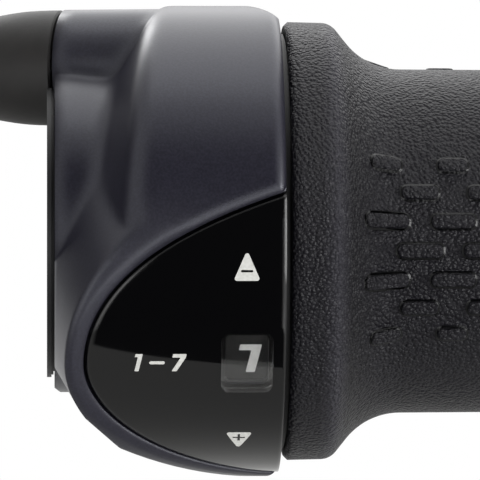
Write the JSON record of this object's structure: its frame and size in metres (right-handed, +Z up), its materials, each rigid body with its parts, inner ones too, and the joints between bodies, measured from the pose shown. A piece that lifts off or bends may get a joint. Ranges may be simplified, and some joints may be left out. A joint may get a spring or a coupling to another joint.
{
  "type": "twist grip shifter",
  "caption": "Bicycle twist grip gear shifter: painted drum housing with teardrop gear display, cable adjuster with rubber boot, and a padded rubber grip that turns on the handlebar.",
  "frame": {"origin": "on the handlebar's axis, in the inboard face of the bracket's clamp", "axes": "+X along the handlebar towards the grip's outboard end, -Y out of the middle of the front, +Z up as in the picture"},
  "size_m": [0.1051, 0.047, 0.047],
  "materials": {
    "black_plastic": "matte moulded",
    "grey_paint": "satin paint on plastic",
    "black_gloss": "polished",
    "smoked_clear": "smoked clear plastic",
    "steel": "plated",
    "brass": "turned",
    "black_rubber": "matte",
    "ring_plastic": "matte with printed numbers",
    "grip_rubber": "fine leather grain"
  },
  "bodies": {
    "housing": {"bracket": "black_plastic", "housing_shell": "grey_paint", "display_lens": "black_gloss", "indicator_window": "smoked_clear", "clamp_screw": "steel", "clamp_insert": "brass", "bracket_screws": "steel", "thrust_washer": "steel", "spring_washer": "steel", "retaining_ring": "steel", "detent_spring": "steel", "cable_guide": "black_plastic", "barrel_insert": "brass", "cable_port_plug": "black_rubber"},
    "grip": {"winder": "black_plastic", "indicator_ring": "ring_plastic", "grip_core": "black_plastic", "grip_sleeve": "grip_rubber"},
    "feed": {"casing_seat": "black_plastic"},
    "adjuster": {"adjuster_barrel": "steel", "cable_boot": "black_rubber"}
  },
  "joints": [
    {"name": "grip_twist", "type": "hinge", "parent": "housing", "child": "grip", "pos_m": [0, 0, 0], "axis": [1, 0, 0], "range_deg": [0, 102], "deforming": ["detent_spring"]},
    {"name": "adjuster_feed", "type": "slide", "parent": "housing", "child": "feed", "axis": [-0.9703, 0.2419, 0], "range_m": [0, 0.004]},
    {"name": "barrel_turn", "type": "hinge", "parent": "feed", "child": "adjuster", "pos_m": [0.0019, 0, 0.0173], "axis": [-0.9703, 0.2419, 0], "range_deg": [0, 1800.5]}
  ],
  "couplings": [
    {"joint": "barrel_turn", "follows": "adjuster_feed", "rad_per_m": 7854}
  ]
}
